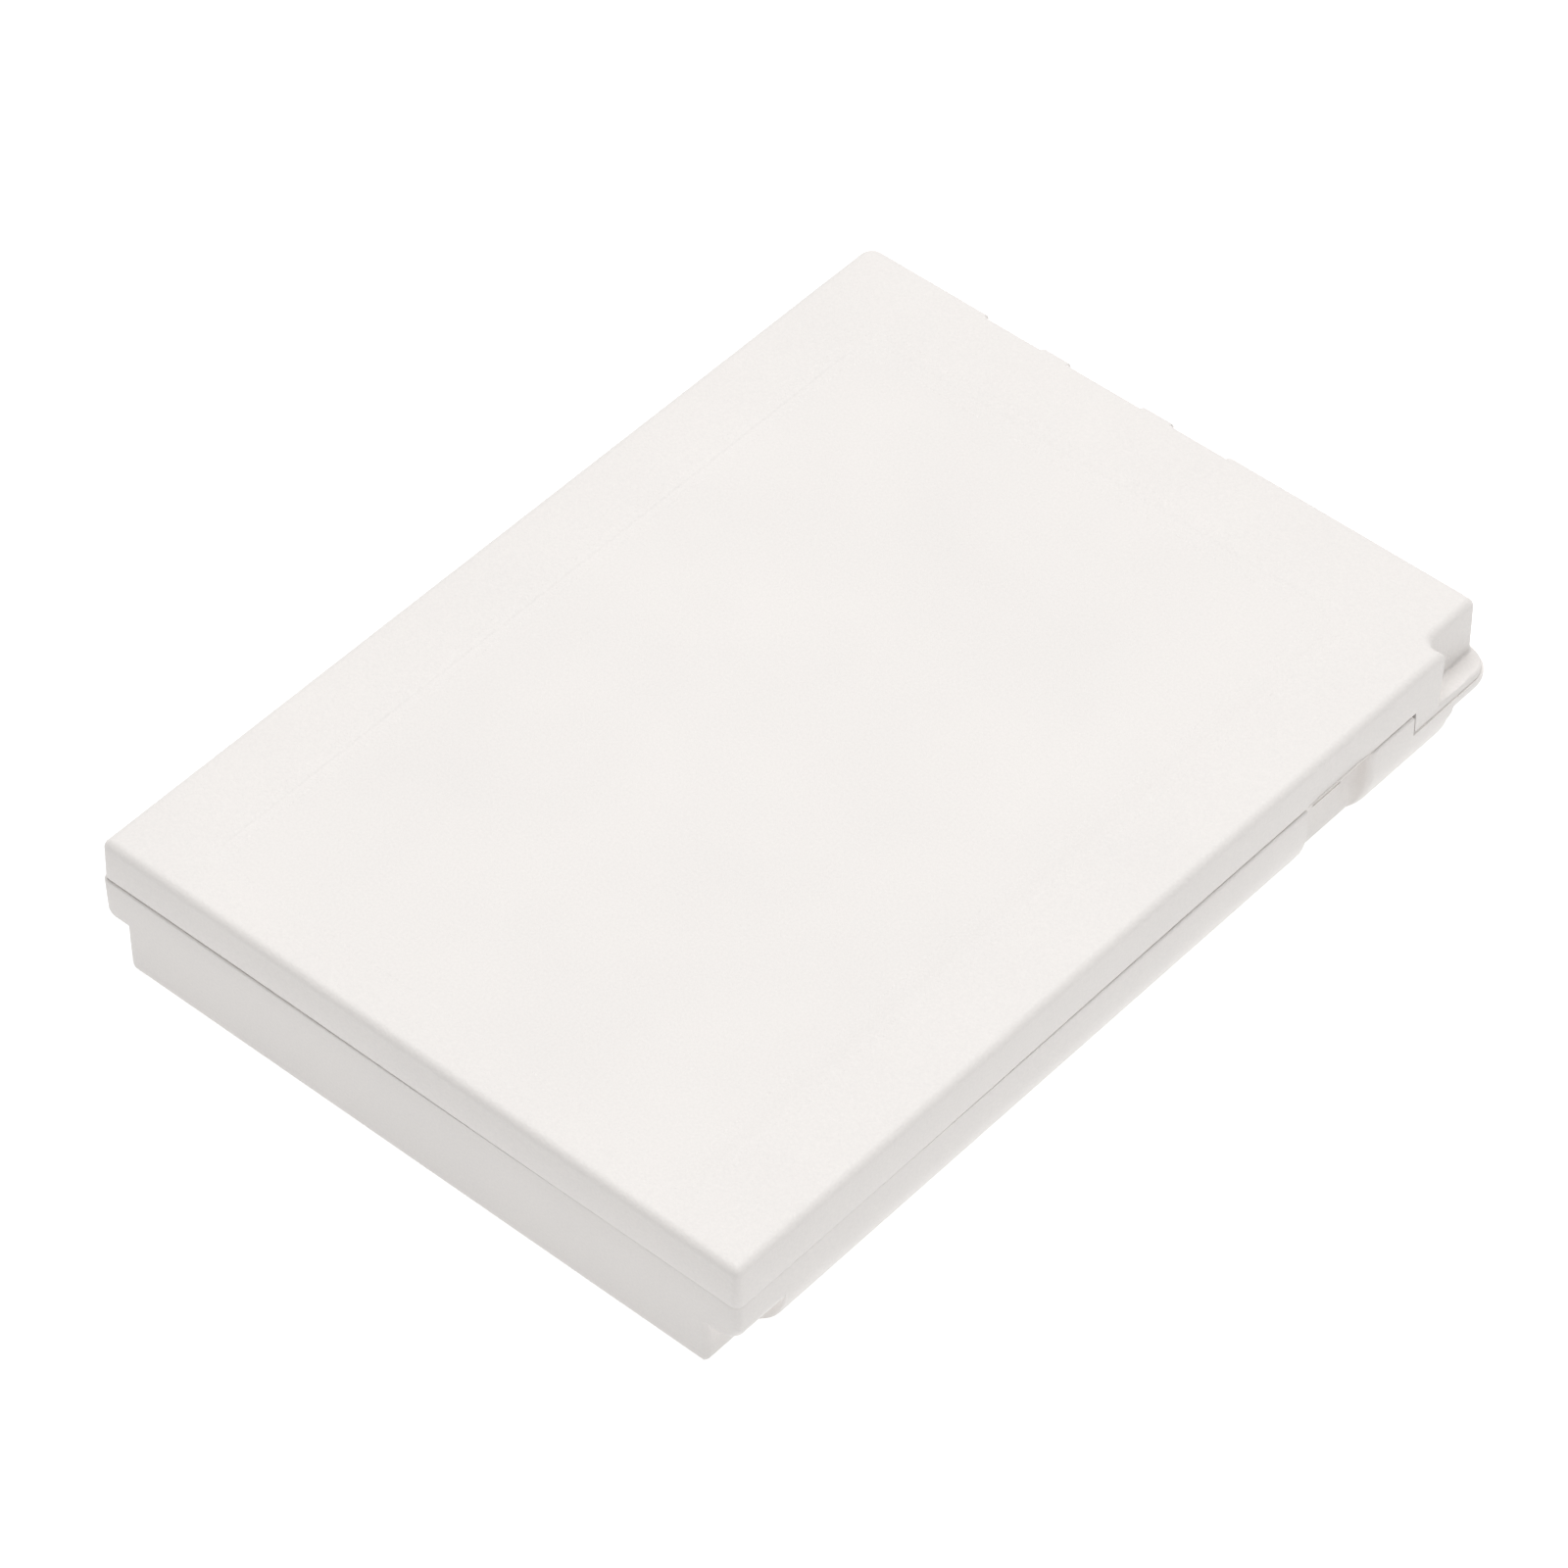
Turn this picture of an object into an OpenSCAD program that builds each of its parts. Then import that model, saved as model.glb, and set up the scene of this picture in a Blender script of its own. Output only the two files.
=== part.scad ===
// Removable hard-case battery pack around one flat lithium pouch cell.
// Two white plastic half shells are welded together along a seam. X runs across the
// pack, Y runs along it with the contacts at +Y, and Z is up. The origin is the middle
// of the underside. All sizes are in millimetres.

/* [Pack] */
// Length over both ends
pack_l = 56; // [54:0.5:60]
// Width over the side rails
pack_w = 41; // [39:0.5:44]
// Thickness from the underside to the top face
pack_h = 8.2; // [8.2:0.1:9.2]
// Height of the welded seam above the underside
seam_z = 5.67; // [5.5:0.05:5.8]
// Wall thickness of both half shells
wall = 0.8; // [0.7:0.05:1]
// Radius of the top edges and of the upright corners
edge_r = 0.5; // [0.3:0.1:0.8]
// Radius of the long lower edges
side_r = 4.1; // [3.5:0.1:4.5]

/* [Guide ends] */
// Length of the narrow stretch at each end
end_zone = 3.25; // [2.5:0.25:4]
// How far the lower shell steps in on each side at its ends
end_inset = 1.8; // [1.5:0.1:2]
// Height of the rail's underside above the pack's underside
rail_z = 3.3; // [3:0.1:3.6]
// Radius of the lower edge across each end
end_r = 0.55; // [0.3:0.05:0.8]

/* [Keying corner and latch] */
// Length of the keying notch in the top shell, measured from the contact end
key_l = 4.4; // [3.5:0.1:5.5]
// Depth of the keying notch in from the side
key_d = 1.4; // [1:0.1:1.5]
// Height of the keying notch's floor
key_z = 4.8; // [4.6:0.1:5]
// Length of the top shell's down-turned tab, measured from the contact end
tab_l = 6.3; // [5.8:0.1:7]
// Height of the tab's lower edge
tab_z = 4.35; // [4.2:0.05:4.5]
// Where the latch recess begins, measured along the pack from its middle
latch_y = 13.3; // [8:0.1:15]
// Length of the latch recess
latch_l = 5.1; // [4:0.1:6]
// Depth of the latch recess in from the side
latch_d = 1.3; // [0.8:0.1:1.3]

/* [Contacts] */
// Depth of the three grooves in the contact end
groove_d = 0.4; // [0.2:0.05:0.45]
// Bottom of the grooves above the underside
groove_z = 1.6; // [1.2:0.1:2]
// Bottom of the windows that show the contacts
window_z = 2.2; // [2:0.1:2.6]
// Top of the windows
window_top = 6.7; // [6.2:0.1:6.9]

/* [Labels] */
// Depth of the shallow field on the top face
field_d = 0.08; // [0.05:0.01:0.15]
// Depth of the recess for the label underneath
label_recess = 0.15; // [0.12:0.01:0.2]
// Thickness of the label underneath
label_t = 0.1; // [0.05:0.01:0.11]

/* [Pouch cell] */
// Thickness of the cell
cell_t = 5.6; // [5:0.1:5.6]
// Width of the cell without its folded side seals
cell_w = 33.2; // [30:0.1:33.2]
// Radius of the cell's edges
cell_r = 1.2; // [0.8:0.1:1.4]

/* [Hidden] */
$fn = 48;
eps = 0.01;

half_w = pack_w / 2;
half_l = pack_l / 2;
end_hw = half_w - end_inset;          // half width of the lower shell at its ends
bay_hw = end_hw - wall;               // half width of the hollow inside
bay_y0 = -half_l + wall;              // hollow inside, front wall
bay_y1 = half_l - wall - 0.1;         // hollow inside, contact wall
bay_top = pack_h - wall;              // underside of the top shell's panel
zone_y = half_l - end_zone;           // where the narrow ends begin
seam_gap = 0.06;                      // each shell's share of the seam's shadow line
seam_depth = 0.35;                    // how far the shadow line goes in
key_x = half_w - key_d;
key_y = half_l - key_l;
tab_y = half_l - tab_l;
tab_x = end_hw;                       // inner face of the tab
tab_gap = 0.1;
tab_r = 1;                            // upright corner of the tab

// Contact positions across the pack and the widths of their grooves:
// positive, sense, negative
contact_x = [1.85, -4.35, -10.4];
contact_w = [3.7, 4.9, 3.8];
window_margin = 0.5;                  // groove is this much wider than its window, each side
contact_gap = 0.1;

// Shallow field on the top face, and the label's outline underneath
field = [31.4, 49, 1.5];              // width, length, corner radius
field_at = [-0.2, -1.7];
label = [30, 48, 1.2];

// Cell and what is stacked on it
tape_t = 0.2;
cell_z = wall + tape_t;
cell_y0 = bay_y0 + 0.8;
cell_y1 = half_l - 7.2;
cell_l = cell_y1 - cell_y0;
cell_mid = (cell_y0 + cell_y1) / 2;
fold_t = 0.4;
film_t = 0.06;
terrace_l = 3;
terrace_t = 0.2;
terrace_z = 3.7;
terrace_y = cell_y1 + terrace_l;      // free edge of the terrace
foil_t = 0.1;                         // thickness of the cell's tabs
foil_z = terrace_z + (terrace_t - foil_t) / 2;
foil_w = 4;
pos_x = 8;                            // positive tab
neg_x = -8;                           // negative tab
strip_t = 0.15;

// Protection board, standing on edge behind the contact wall
board_t = 0.8;
board_y = half_l - 2.4;               // inner face of the board
board_z = wall + 0.1;
board_top = bay_top - 0.1;
board_hw = bay_hw - 0.4;

// ---- shared shapes -------------------------------------------------------------

// Rectangle with round corners
module rounded_rect(w, l, r) {
    square([w - 2 * r, l], center = true);
    square([w, l - 2 * r], center = true);
    for (sx = [-1, 1], sy = [-1, 1])
        translate([sx * (w / 2 - r), sy * (l / 2 - r)]) circle(r);
}

// Slab with round upright corners and a round upper edge, all of radius r
module rounded_slab(w, l, h, r) {
    linear_extrude(h - r) rounded_rect(w, l, r);
    translate([-w / 2 + r, -l / 2 + r, 0]) cube([w - 2 * r, l - 2 * r, h]);
    for (s = [-1, 1]) {
        translate([s * (w / 2 - r), 0, h - r])
            rotate([90, 0, 0]) cylinder(h = l - 2 * r, r = r, center = true);
        translate([0, s * (l / 2 - r), h - r])
            rotate([0, 90, 0]) cylinder(h = w - 2 * r, r = r, center = true);
        for (t = [-1, 1])
            translate([s * (w / 2 - r), t * (l / 2 - r), h - r]) sphere(r);
    }
}

// Upright rectangle standing on its long edge, with its two lower corners round
module boat_section(w, h, r) {
    translate([-w / 2, r]) square([w, h - r]);
    translate([-w / 2 + r, 0]) square([w - 2 * r, h]);
    for (s = [-1, 1]) translate([s * (w / 2 - r), r]) circle(r);
}

// Box from its lowest corner to its highest corner
module block(low, high) {
    translate(low) cube(high - low);
}

// The three grooves down the contact end, and the windows at the bottom of them
module contact_cuts() {
    for (i = [0 : 2]) {
        w = contact_w[i];
        translate([contact_x[i] - w / 2, half_l - groove_d, groove_z])
            cube([w, 1, pack_h]);
        translate([contact_x[i] - w / 2 + window_margin, bay_y1 - 1, window_z])
            cube([w - 2 * window_margin, 3, window_top - window_z]);
    }
}

// Shadow line around the seam: a thin ring-shaped cut centred on the seam
module seam_line() {
    translate([0, 0, seam_z - seam_gap]) linear_extrude(2 * seam_gap) difference() {
        square([pack_w + 2, pack_l + 2], center = true);
        square([pack_w - 2 * seam_depth, pack_l - 2 * seam_depth], center = true);
    }
}

// Keying notch: a corner pocket with a round inner corner and a round mouth
module key_cut() {
    r = 0.5;
    translate([0, 0, key_z]) linear_extrude(pack_h) difference() {
        union() {
            translate([key_x, key_y + r]) square([key_d + 1, key_l + 1]);
            translate([key_x + r, key_y]) square([key_d + 1, key_l + 1]);
            translate([key_x + r, key_y + r]) circle(r);
            translate([half_w - r, key_y - r]) square([r + 1, r + eps]);
        }
        translate([half_w - r, key_y - r]) circle(r);
    }
}

// What is trimmed off the upright corner beside the contacts to round it to tab_r
module tab_corner_cut() {
    translate([0, 0, -1]) linear_extrude(key_z + 1) difference() {
        translate([half_w - tab_r, half_l - tab_r]) square(tab_r + 1);
        translate([half_w - tab_r, half_l - tab_r]) circle(tab_r);
    }
}

// ---- the two half shells -------------------------------------------------------

// Upper shell: a flat lid with short walls. One corner has the keying notch, and
// below it a tab reaches down over the lower shell.
module top_cover() {
    tab_top = seam_z + eps;
    color("white") difference() {
        union() {
            translate([0, 0, seam_z]) rounded_slab(pack_w, pack_l, pack_h - seam_z, edge_r);
            block([tab_x, tab_y, tab_z], [half_w, half_l, tab_top]);
        }
        block([-bay_hw, bay_y0, seam_z - eps], [bay_hw, bay_y1, bay_top]);
        translate([field_at[0], field_at[1], pack_h - field_d])
            linear_extrude(1) rounded_rect(field[0], field[1], field[2]);
        contact_cuts();
        key_cut();
        tab_corner_cut();
        difference() {
            seam_line();
            block([0, tab_y, 0], [pack_w, pack_l, pack_h]);
        }
    }
}

// Lower shell: a shallow boat with round long edges. At both ends it is narrower
// below a full-width rail, and it has a latch recess in one side.
module bottom_case() {
    color("white") {
        difference() {
            union() {
                translate([0, 0, seam_z]) mirror([0, 0, 1])
                    rounded_slab(pack_w, pack_l, seam_z - rail_z, edge_r);
                rotate([90, 0, 0]) linear_extrude(2 * zone_y, center = true)
                    boat_section(pack_w, seam_z, side_r);
                intersection() {
                    rotate([90, 0, 90]) linear_extrude(2 * end_hw, center = true)
                        boat_section(pack_l, seam_z, end_r);
                    for (s = [-1, 1])
                        translate([-half_w, s * (half_l - end_zone / 2) - end_zone / 2, 0])
                            cube([pack_w, end_zone, seam_z]);
                }
            }
            case_hollow();
            contact_cuts();
            latch_cut();
            seam_line();
            block([tab_x - tab_gap, tab_y - tab_gap, tab_z - seam_gap],
                  [pack_w, pack_l, pack_h]);
            tab_corner_cut();
            translate([0, 0, -1]) linear_extrude(1 + label_recess)
                rounded_rect(label[0], label[1], label[2]);
        }
        board_ribs();
    }
}

// Space inside the lower shell
module case_hollow() {
    translate([0, (bay_y0 + bay_y1) / 2, wall]) rotate([90, 0, 0])
        linear_extrude(bay_y1 - bay_y0, center = true)
            boat_section(2 * bay_hw, seam_z, cell_r);
}

// Latch recess: square at one end, with a quarter-round run-out at the other
module latch_cut() {
    r = 0.9;
    latch_x = half_w - latch_d;
    run_y = latch_y + latch_l;
    steps = 12;
    run_out = [for (i = [0 : steps]) let (a = 90 * i / steps)
        [latch_x + r - r * cos(a), run_y - r + r * sin(a)]];
    translate([0, 0, -1]) linear_extrude(seam_z + 1 - seam_gap) polygon(concat(
        [[half_w + 1, run_y], [half_w + 1, latch_y], [latch_x, latch_y]], run_out));
}

// Pairs of ribs that hold the two edges of the protection board
module board_ribs() {
    rib_w = 1;
    rib_t = 0.5;
    for (s = [0, 1], y = [board_y - 0.1 - rib_t, board_y + board_t + 0.1])
        mirror([s, 0, 0])
            block([bay_hw - rib_w, y, wall - eps], [bay_hw + eps, y + rib_t, seam_z - 0.2]);
}

// Blank label in the recess underneath
module bottom_label() {
    gap = 0.1;
    color("gainsboro") translate([0, 0, label_recess - label_t]) linear_extrude(label_t)
        rounded_rect(label[0] - 2 * gap, label[1] - 2 * gap, label[2] - gap);
}

// ---- the pouch cell ------------------------------------------------------------

// Cell body in its laminated foil, with all edges round
module pouch_cell() {
    color("silver") translate([0, cell_mid, cell_z + cell_t / 2])
        for (s = [0, 1]) mirror([0, 0, s])
            rounded_slab(cell_w, cell_l, cell_t / 2, cell_r);
}

// Side seals of the foil, folded up against the cell
module side_seals() {
    fold_h = 4;
    lead_in = 0.4;
    color("silver") for (s = [0, 1]) mirror([s, 0, 0])
        block([cell_w / 2, cell_y0 + lead_in, cell_z + 0.6],
              [cell_w / 2 + fold_t, cell_y1 - lead_in, cell_z + 0.6 + fold_h]);
}

// Flat seal at the tab end
module terrace_seal() {
    color("silver") block([-cell_w / 2, cell_y1, terrace_z],
                          [cell_w / 2, terrace_y, terrace_z + terrace_t]);
}

// Aluminium tab, straight
module positive_tab() {
    color("lightgray") block([pos_x - foil_w / 2, terrace_y, foil_z],
                             [pos_x + foil_w / 2, terrace_y + 1.4, foil_z + foil_t]);
}

// Nickel tab, folded up and back over the terrace
module negative_tab() {
    reach = 1.1;
    fold_z = 0.5;
    back = 2.2;
    x0 = neg_x - foil_w / 2;
    x1 = neg_x + foil_w / 2;
    color("darkgray") {
        block([x0, terrace_y, foil_z], [x1, terrace_y + reach, foil_z + foil_t]);
        block([x0, terrace_y + reach - foil_t, foil_z],
              [x1, terrace_y + reach, foil_z + fold_z]);
        block([x0, terrace_y - back, foil_z + fold_z - foil_t],
              [x1, terrace_y + reach, foil_z + fold_z]);
    }
}

// Plastic film that seals each tab into the foil
module tab_sealant() {
    side = 1;
    reach = 0.4;
    color("white") for (x = [pos_x, neg_x]) difference() {
        block([x - foil_w / 2 - side, terrace_y, terrace_z],
              [x + foil_w / 2 + side, terrace_y + reach, terrace_z + terrace_t]);
        block([x - foil_w / 2, terrace_y - 1, foil_z],
              [x + foil_w / 2, terrace_y + 1, foil_z + foil_t]);
    }
}

// Polyimide tape under the terrace
module terrace_tape() {
    color("goldenrod") block([-cell_w / 2, cell_y1, terrace_z - film_t],
                             [cell_w / 2, terrace_y, terrace_z]);
}

// Polyimide tape over both folded seals
module fold_tapes() {
    color("goldenrod") for (s = [0, 1]) mirror([s, 0, 0])
        block([cell_w / 2 + fold_t, cell_y0 + 2, cell_z + 1],
              [cell_w / 2 + fold_t + film_t, cell_y1 - 2, cell_z + 4.2]);
}

// Double-sided tape that holds the cell to the lower shell
module cell_tape() {
    color("ivory") block([-12, cell_y0 + 4, wall], [12, cell_y1 - 4, cell_z]);
}

// Two foam strips between the cell and the top shell
module cover_foam() {
    strip_w = 8;
    color("dimgray") for (s = [0, 1]) mirror([s, 0, 0])
        block([5, cell_y0 + 4, cell_z + cell_t], [5 + strip_w, cell_y1 - 4, bay_top]);
}

// Foam block between the cell and the front wall
module end_cushion() {
    color("dimgray") block([-14, bay_y0, cell_z + 0.8], [14, cell_y0, cell_z + cell_t - 0.8]);
}

// Insulating paper on the tab end of the cell
module insulating_paper() {
    paper_t = 0.15;
    color("darkseagreen") block([-cell_w / 2 + 1, cell_y1, terrace_z + terrace_t + 0.6],
                                [cell_w / 2 - 1, cell_y1 + paper_t, cell_z + cell_t - cell_r]);
}

// ---- the protection circuit ----------------------------------------------------

// Circuit board on edge behind the contact wall
module protection_board() {
    color("darkgreen") block([-board_hw, board_y, board_z],
                             [board_hw, board_y + board_t, board_top]);
}

// Part on the board's inner face: centre x, centre z, and size along x, y and z
module on_board(x, z, size) {
    translate([x - size[0] / 2, board_y - size[1], z - size[2] / 2]) cube(size);
}

ic_at = [-3, 4.1];
ic_size = [2.9, 1.1, 1.6];
fet_at = [3.6, 4.1];
fet_size = [4.4, 1, 3];

// Battery protection chip
module protection_ic() {
    color("dimgray") on_board(ic_at[0], ic_at[1], ic_size);
}

// Pair of switching transistors in one package
module dual_mosfet() {
    color("dimgray") on_board(fet_at[0], fet_at[1], fet_size);
}

// Legs of the chip, three above and three below, and of the transistors, four a side
module component_leads() {
    leg = 0.5;
    leg_t = 0.2;
    color("silver") for (s = [-1, 1]) {
        for (i = [-1 : 1])
            on_board(ic_at[0] + 0.95 * i, ic_at[1] + s * (ic_size[2] + leg) / 2,
                     [0.4, leg_t, leg]);
        for (i = [-1.5 : 1.5])
            on_board(fet_at[0] + s * (fet_size[0] + leg) / 2, fet_at[1] + 0.65 * i,
                     [leg, leg_t, 0.3]);
    }
}

// Thick-film resistors
module chip_resistors() {
    color("black") for (at = [[-8.6, 5.6], [-6.2, 5.6], [9.8, 2.4]])
        on_board(at[0], at[1], [1.6, 0.45, 0.8]);
}

// Ceramic capacitors
module chip_capacitors() {
    color("tan") for (at = [[0, 2.4], [-6.2, 2.4]])
        on_board(at[0], at[1], [1.6, 0.8, 0.8]);
}

// Temperature sensor
module thermistor() {
    color("darkslategray") on_board(13, 3, [1.6, 0.6, 0.8]);
}

ptc_x0 = -15.2;                       // resettable fuse over the terrace
ptc_x1 = -11;
ptc_z = terrace_z + terrace_t + 0.05;
lead_z = foil_z + 0.5;                // leads lie on the folded negative tab
lead_y0 = cell_y1 + 1.1;
lead_y1 = cell_y1 + 2.5;

// Resettable fuse in line with the negative tab
module ptc_device() {
    color("peru") block([ptc_x0, cell_y1 + 0.6, ptc_z], [ptc_x1, cell_y1 + 2.9, ptc_z + 0.9]);
}

// Nickel leads at both ends of the resettable fuse
module ptc_leads() {
    color("silver") {
        block([ptc_x1, lead_y0, lead_z], [neg_x + foil_w / 2 - 0.3, lead_y1, lead_z + foil_t]);
        block([ptc_x0 - 1.3, lead_y0, lead_z], [ptc_x0, lead_y1, lead_z + foil_t]);
    }
}

// Nickel strip bent up against the board: x range, y and z where it begins
module board_strip(x0, x1, y, z) {
    rise = 2.4;
    block([x0, y, z], [x1, board_y, z + strip_t]);
    block([x0, board_y - strip_t, z], [x1, board_y, z + rise]);
}

// Strip from the positive tab to the board
module positive_strip() {
    color("silver") board_strip(pos_x - 1.6, pos_x + 1.6, terrace_y + 0.5, foil_z + foil_t);
}

// Strip from the resettable fuse to the board
module negative_strip() {
    color("silver") board_strip(ptc_x0 - 1.3, ptc_x0 - 0.1, lead_y0, lead_z + foil_t);
}

// Gold-plated contact block on the board's outer face, seen through its window
module contact(i) {
    w = contact_w[i] - 2 * window_margin - 2 * contact_gap;
    color("gold") block(
        [contact_x[i] - w / 2, board_y + board_t, window_z + contact_gap],
        [contact_x[i] + w / 2, half_l - groove_d - 0.25, window_top - contact_gap]);
}

module contact_positive() { contact(0); }
module contact_sense() { contact(1); }
module contact_negative() { contact(2); }

// Solder round the foot of each contact
module solder_joints() {
    rim = 0.3;
    rise = 0.15;
    y = board_y + board_t;
    color("lightgray") for (i = [0 : 2]) {
        w = contact_w[i] - 2 * window_margin - 2 * contact_gap;
        z0 = window_z + contact_gap;
        z1 = window_top - contact_gap;
        difference() {
            block([contact_x[i] - w / 2 - rim, y, z0 - rim],
                  [contact_x[i] + w / 2 + rim, y + rise, z1 + rim]);
            block([contact_x[i] - w / 2, y - 1, z0], [contact_x[i] + w / 2, y + 1, z1]);
        }
    }
}

top_cover();
bottom_case();
bottom_label();
pouch_cell();
side_seals();
terrace_seal();
positive_tab();
negative_tab();
tab_sealant();
terrace_tape();
fold_tapes();
cell_tape();
cover_foam();
end_cushion();
insulating_paper();
protection_board();
protection_ic();
dual_mosfet();
component_leads();
chip_resistors();
chip_capacitors();
thermistor();
ptc_device();
ptc_leads();
positive_strip();
negative_strip();
contact_positive();
contact_sense();
contact_negative();
solder_joints();
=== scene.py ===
import math

import bmesh
import bpy
import numpy as np
from mathutils import Matrix, Vector


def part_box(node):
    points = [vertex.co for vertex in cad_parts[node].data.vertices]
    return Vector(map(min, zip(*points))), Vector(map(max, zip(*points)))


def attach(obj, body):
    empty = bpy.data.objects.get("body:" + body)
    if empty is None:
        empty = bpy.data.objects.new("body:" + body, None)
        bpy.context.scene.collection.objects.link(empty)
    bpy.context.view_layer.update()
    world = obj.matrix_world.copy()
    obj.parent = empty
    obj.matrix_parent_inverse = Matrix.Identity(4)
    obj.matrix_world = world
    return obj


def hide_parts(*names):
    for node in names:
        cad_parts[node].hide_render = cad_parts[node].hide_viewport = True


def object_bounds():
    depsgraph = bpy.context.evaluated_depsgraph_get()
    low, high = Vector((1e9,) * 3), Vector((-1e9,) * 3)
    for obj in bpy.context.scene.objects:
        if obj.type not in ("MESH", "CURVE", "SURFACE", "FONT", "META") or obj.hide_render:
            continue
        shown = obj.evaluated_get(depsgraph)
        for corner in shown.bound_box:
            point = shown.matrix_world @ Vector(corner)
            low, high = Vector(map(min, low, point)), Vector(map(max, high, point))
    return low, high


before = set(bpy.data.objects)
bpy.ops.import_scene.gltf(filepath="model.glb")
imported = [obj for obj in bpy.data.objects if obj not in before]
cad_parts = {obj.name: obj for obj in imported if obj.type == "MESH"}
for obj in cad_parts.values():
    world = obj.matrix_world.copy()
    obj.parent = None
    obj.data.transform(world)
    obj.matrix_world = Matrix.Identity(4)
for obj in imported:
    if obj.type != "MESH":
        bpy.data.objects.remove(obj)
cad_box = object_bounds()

# ---------------------------------------------------------------- camera
# A long lens looks down on the corner at +X, -Y, with the contact end at the far side. It
# aims at a point on the top face, a little off its middle, and leans by about one degree.
top_z = cad_box[1].z
aim = Vector((0.00183, -0.00377, top_z))
azimuth, elevation, lean = (math.radians(a) for a in (42.31, 46.60, -0.99))
distance = 0.3467
back = Vector((math.sin(azimuth) * math.cos(elevation),
               -math.cos(azimuth) * math.cos(elevation),
               math.sin(elevation)))
level_right = (-back).cross(Vector((0, 0, 1))).normalized()
level_up = level_right.cross(-back)
right = level_right * math.cos(lean) + level_up * math.sin(lean)
up = level_up * math.cos(lean) - level_right * math.sin(lean)
lens = bpy.data.cameras.new("camera")
lens.sensor_width = 36
lens.lens = 166.03
lens.clip_start = 0.01
camera = bpy.data.objects.new("camera", lens)
camera.matrix_world = Matrix((
    (right.x, up.x, back.x, aim.x + back.x * distance),
    (right.y, up.y, back.y, aim.y + back.y * distance),
    (right.z, up.z, back.z, aim.z + back.z * distance),
    (0, 0, 0, 1)))
bpy.context.scene.collection.objects.link(camera)
bpy.context.scene.camera = camera

# ---------------------------------------------------------------- floor and light
# A pale floor under even studio light: a soft box overhead, a weaker one from the
# right-hand side, and a pale room all round.
bpy.context.scene.view_settings.view_transform = "Standard"
floor_mesh = bpy.data.meshes.new("floor")
floor_reach = 3.0
floor_drop = 0.0002
floor_mesh.from_pydata(
    [(x * floor_reach, y * floor_reach, -floor_drop) for x, y in ((-1, -1), (1, -1), (1, 1), (-1, 1))],
    [], [(0, 1, 2, 3)])
floor = bpy.data.objects.new("floor", floor_mesh)
bpy.context.scene.collection.objects.link(floor)
floor_paint = bpy.data.materials.new("pale_floor")
floor_paint.use_nodes = True
floor_shader = floor_paint.node_tree.nodes["Principled BSDF"]
floor_shader.inputs["Base Color"].default_value = (0.5, 0.5, 0.5, 1)
floor_shader.inputs["Roughness"].default_value = 0.9
floor_shader.inputs["Emission Color"].default_value = (1, 1, 1, 1)
floor_shader.inputs["Emission Strength"].default_value = 0.75
floor_mesh.materials.append(floor_paint)

room = bpy.data.worlds.new("room")
room.use_nodes = True
room.node_tree.nodes["Background"].inputs["Color"].default_value = (1.0, 0.998, 0.99, 1)
room.node_tree.nodes["Background"].inputs["Strength"].default_value = 0.26
bpy.context.scene.world = room


def soft_box(name, place, size, watts):
    """A square area light of one size at a place, turned to face the middle of the pack."""
    lamp = bpy.data.lights.new(name, "AREA")
    lamp.size = size
    lamp.energy = watts
    box = bpy.data.objects.new(name, lamp)
    box.location = place
    box.rotation_euler = (-Vector(place)).to_track_quat("-Z", "Y").to_euler()
    bpy.context.scene.collection.objects.link(box)


soft_box("soft_box_above", place=(-0.1, 0.15, 0.9), size=0.8, watts=8.3)
soft_box("soft_box_right", place=(0.75, 0.35, 0.4), size=0.4, watts=0.4)

# ---------------------------------------------------------------- upper shell
# The lid of the case is one moulding in warm white ABS with a fine sparked surface.
# It is a flat panel with short walls, welded to the lower shell along the seam. One
# corner is notched for keying, with a tab below the notch that laps the lower shell.
MM = 0.001
half_w = cad_box[1].x / MM
half_l = cad_box[1].y / MM
top = top_z / MM
seam = 5.67
wall = 0.8
contact_wall = 0.9            # the wall with the grooves in it is thicker
draft = 0.08                  # how far the wall leans in from the seam to the top
edge_r = 0.5                  # round top edge
corner_r = 0.42
far_corner_r = 0.9            # the corner at -X, +Y is rounder
least_r = 0.04                # no corner of the lid is sharper than this

# keyed notch, and the tab below it
key_x, key_y, key_floor = half_w - 1.2, half_l - 4.4, 4.8
key_mouth_r, key_root_r, key_edge_r, key_foot_r = 0.15, 0.5, 0.2, 0.15
mouth_lean, end_lean = 0.48, 0.36    # how far the notch's two walls slope towards +Y, going up
tab_x, tab_y, tab_bottom, tab_r = half_w - 1.8, half_l - 6.3, 4.35, 1.35
tab_taper = 0.38              # how far the tab's end stands back at its outer corner
tab_end_pull = 3              # an inset moves the tab's end in by this many times itself

# contact grooves, from the lowest to the highest X of each, and their windows
grooves = ((0.0, 3.7), (-6.8, -1.9), (-12.3, -8.5))
groove_depth, groove_edge_r, groove_corner_r = 0.4, 0.25, 0.14
corners_per_groove = 6
window_margin, window_bottom, window_top = 0.5, 2.2, 6.7

# seam: closed near the corner at +X, -Y, then opening, until it is widest
closed_reach, opening_reach = 8, 26
closed_share = 0.03           # what is left of the gap where it is closed
rim_in = 0.35                 # how far the seam's gap goes in
seam_gap = 0.035              # half the gap's height where it is widest
closed_rim_r, lid_rim_r, tray_rim_r, tab_rim_r = 0.02, 0.07, 0.15, 0.03    # the seam's edges
lid_side_gap, lid_front_gap = 0.08, 0.06     # how much the lid is smaller than the tray
lip_y0, lip_y1, lip_out, lip_rise = 13.3, 18.15, 0.08, 0.07   # bead on the lid over the latch
lip_end = 0.4                 # the bead fades out over this length

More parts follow.
